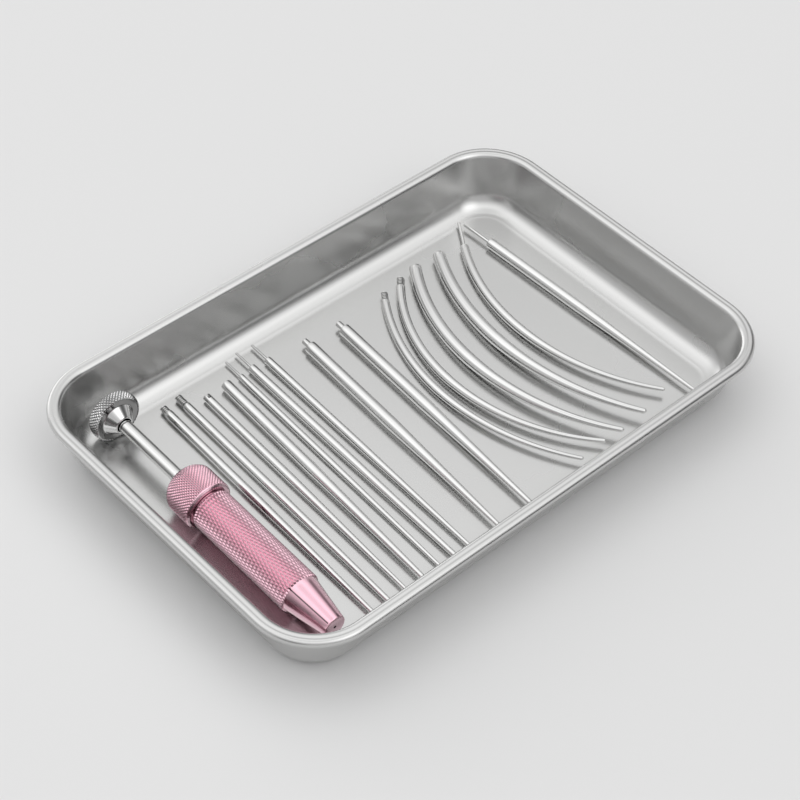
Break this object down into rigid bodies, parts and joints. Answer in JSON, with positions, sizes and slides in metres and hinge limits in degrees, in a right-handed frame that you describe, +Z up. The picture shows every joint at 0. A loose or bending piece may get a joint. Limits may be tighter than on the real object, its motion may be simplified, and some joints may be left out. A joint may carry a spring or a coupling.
{
  "type": "instrument tray",
  "caption": "Shallow pressed steel instrument tray with a rolled rim, holding a row of straight and curved taper tools and a knurled spring handle.",
  "frame": {"origin": "middle of the tray's underside, on the surface that it stands on", "axes": "+X along the tray's long side, +Y across it towards the tails of the tools, +Z up"},
  "size_m": [0.2244, 0.1506, 0.024],
  "materials": {
    "tray_steel": "satin, fine matt sheet",
    "tool_steel": "polished",
    "pink_anodised": "pink anodised, knurled, glossy",
    "knob_steel": "polished, knurled edge",
    "spring_steel": "bright drawn wire"
  },
  "bodies": {
    "tray": {"tray_shell": "tray_steel"},
    "straight_taper_threaded_fine": {"straight_taper_threaded_fine": "tool_steel"},
    "straight_taper_threaded_coarse": {"straight_taper_threaded_coarse": "tool_steel"},
    "straight_taper_notched": {"straight_taper_notched": "tool_steel"},
    "straight_taper_cupped": {"straight_taper_cupped": "tool_steel"},
    "straight_taper_pin_fine": {"straight_taper_pin_fine": "tool_steel", "straight_pin_wire_fine": "tool_steel"},
    "straight_taper_pin_medium": {"straight_taper_pin_medium": "tool_steel", "straight_pin_wire_medium": "tool_steel"},
    "straight_taper_pin_stout": {"straight_taper_pin_stout": "tool_steel", "straight_pin_wire_stout": "tool_steel"},
    "straight_taper_stub_short": {"straight_taper_stub_short": "tool_steel"},
    "straight_taper_stub_stout": {"straight_taper_stub_stout": "tool_steel"},
    "curved_taper_threaded_fine": {"curved_taper_threaded_fine": "tool_steel"},
    "curved_taper_threaded_coarse": {"curved_taper_threaded_coarse": "tool_steel"},
    "curved_taper_plain_slim": {"curved_taper_plain_slim": "tool_steel"},
    "curved_taper_plain_stout": {"curved_taper_plain_stout": "tool_steel"},
    "curved_taper_pin": {"curved_taper_pin": "tool_steel", "curved_pin_wire": "tool_steel"},
    "straight_taper_pin_long": {"straight_taper_pin_long": "tool_steel", "straight_pin_wire_long": "tool_steel"},
    "handle": {"handle_barrel": "pink_anodised", "handle_collar": "pink_anodised", "return_spring": "spring_steel"},
    "plunger": {"push_rod": "tool_steel", "push_wire": "tool_steel", "spring_seat": "tool_steel", "knob_washer": "tool_steel", "knob_screw": "tool_steel"},
    "knob": {"push_knob": "knob_steel"}
  },
  "joints": [
    {"name": "straight_taper_threaded_fine_lift", "type": "slide", "parent": "tray", "child": "straight_taper_threaded_fine", "axis": [0, 0, 1], "range_m": [0, 0.04]},
    {"name": "straight_taper_threaded_coarse_lift", "type": "slide", "parent": "tray", "child": "straight_taper_threaded_coarse", "axis": [0, 0, 1], "range_m": [0, 0.04]},
    {"name": "straight_taper_notched_lift", "type": "slide", "parent": "tray", "child": "straight_taper_notched", "axis": [0, 0, 1], "range_m": [0, 0.04]},
    {"name": "straight_taper_cupped_lift", "type": "slide", "parent": "tray", "child": "straight_taper_cupped", "axis": [0, 0, 1], "range_m": [0, 0.04]},
    {"name": "straight_taper_pin_fine_lift", "type": "slide", "parent": "tray", "child": "straight_taper_pin_fine", "axis": [0, 0, 1], "range_m": [0, 0.04]},
    {"name": "straight_taper_pin_medium_lift", "type": "slide", "parent": "tray", "child": "straight_taper_pin_medium", "axis": [0, 0, 1], "range_m": [0, 0.04]},
    {"name": "straight_taper_pin_stout_lift", "type": "slide", "parent": "tray", "child": "straight_taper_pin_stout", "axis": [0, 0, 1], "range_m": [0, 0.04]},
    {"name": "straight_taper_stub_short_lift", "type": "slide", "parent": "tray", "child": "straight_taper_stub_short", "axis": [0, 0, 1], "range_m": [0, 0.04]},
    {"name": "straight_taper_stub_stout_lift", "type": "slide", "parent": "tray", "child": "straight_taper_stub_stout", "axis": [0, 0, 1], "range_m": [0, 0.04]},
    {"name": "curved_taper_threaded_fine_lift", "type": "slide", "parent": "tray", "child": "curved_taper_threaded_fine", "axis": [0, 0, 1], "range_m": [0, 0.04]},
    {"name": "curved_taper_threaded_coarse_lift", "type": "slide", "parent": "tray", "child": "curved_taper_threaded_coarse", "axis": [0, 0, 1], "range_m": [0, 0.04]},
    {"name": "curved_taper_plain_slim_lift", "type": "slide", "parent": "tray", "child": "curved_taper_plain_slim", "axis": [0, 0, 1], "range_m": [0, 0.04]},
    {"name": "curved_taper_plain_stout_lift", "type": "slide", "parent": "tray", "child": "curved_taper_plain_stout", "axis": [0, 0, 1], "range_m": [0, 0.04]},
    {"name": "curved_taper_pin_lift", "type": "slide", "parent": "tray", "child": "curved_taper_pin", "axis": [0, 0, 1], "range_m": [0, 0.04]},
    {"name": "straight_taper_pin_long_lift", "type": "slide", "parent": "tray", "child": "straight_taper_pin_long", "axis": [0, 0, 1], "range_m": [0, 0.04]},
    {"name": "handle_lift", "type": "slide", "parent": "tray", "child": "handle", "axis": [0, 0, 1], "range_m": [0, 0.04]},
    {"name": "plunger_press", "type": "slide", "parent": "handle", "child": "plunger", "axis": [-0.0166, -0.9999, 0], "range_m": [0, 0.008], "stiffness_N_per_m": 250, "springref_m": -0.004, "deforming": ["return_spring"]},
    {"name": "knob_swivel", "type": "hinge", "parent": "plunger", "child": "knob", "pos_m": [-0.08504, 0.05788, 0.01005], "axis": [0.0166, 0.9999, 0], "continuous": true}
  ]
}
